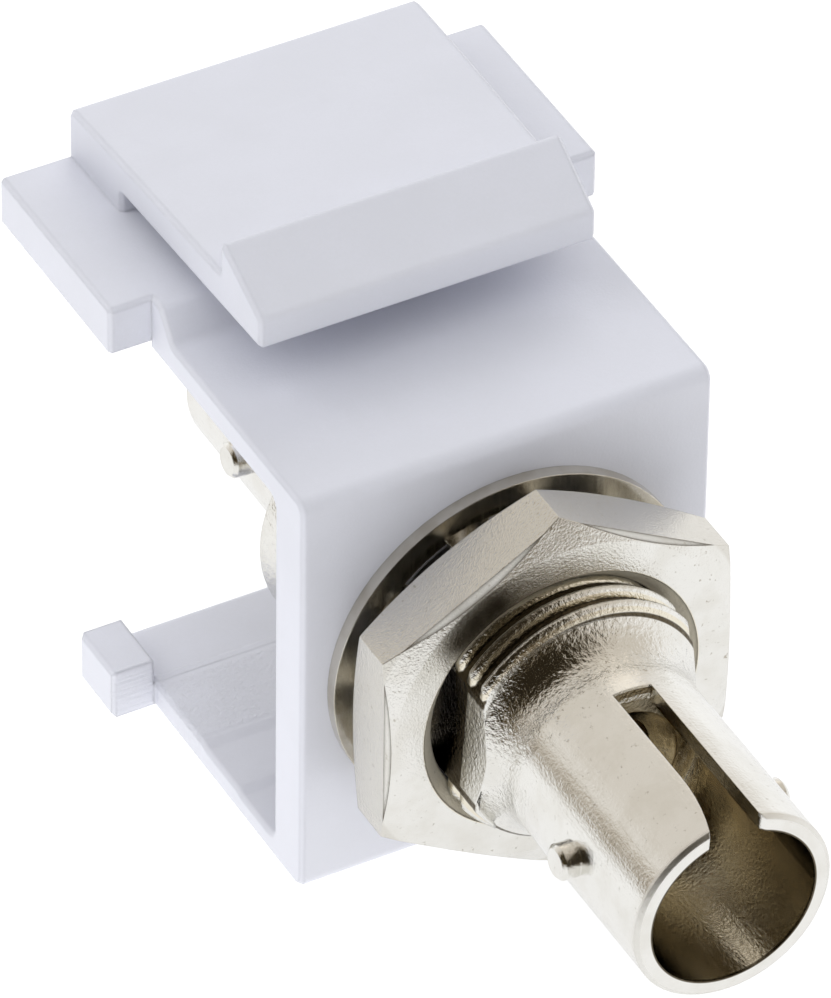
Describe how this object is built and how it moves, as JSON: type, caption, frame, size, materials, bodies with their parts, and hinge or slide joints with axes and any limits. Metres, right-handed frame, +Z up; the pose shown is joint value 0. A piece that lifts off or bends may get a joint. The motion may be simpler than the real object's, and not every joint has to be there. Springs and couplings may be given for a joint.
{
  "type": "keystone fibre coupler",
  "caption": "White snap-in keystone housing with a latch finger, holding a plated bayonet fibre coupler that a hexagonal nut and a toothed lock washer clamp to its front wall.",
  "frame": {"origin": "where the port axis crosses the front face of the housing, inside the alignment sleeve", "axes": "the port axis is Y with the front port looking along -Y, +Z is up towards the latch finger, +X is to the right seen from the front"},
  "size_m": [0.0174, 0.0324, 0.0214],
  "materials": {
    "housing_plastic": "fine matte moulded surface, cool white",
    "nickel_plate": "nickel plate over a slightly pebbled casting",
    "washer_plate": "bright plated spring steel",
    "sleeve_bronze": "smooth bronze"
  },
  "bodies": {
    "root": {"keystone_housing": "housing_plastic", "front_body": "nickel_plate", "rear_body": "nickel_plate", "hex_nut": "nickel_plate", "lock_washer": "washer_plate", "alignment_sleeve": "sleeve_bronze"}
  },
  "joints": []
}
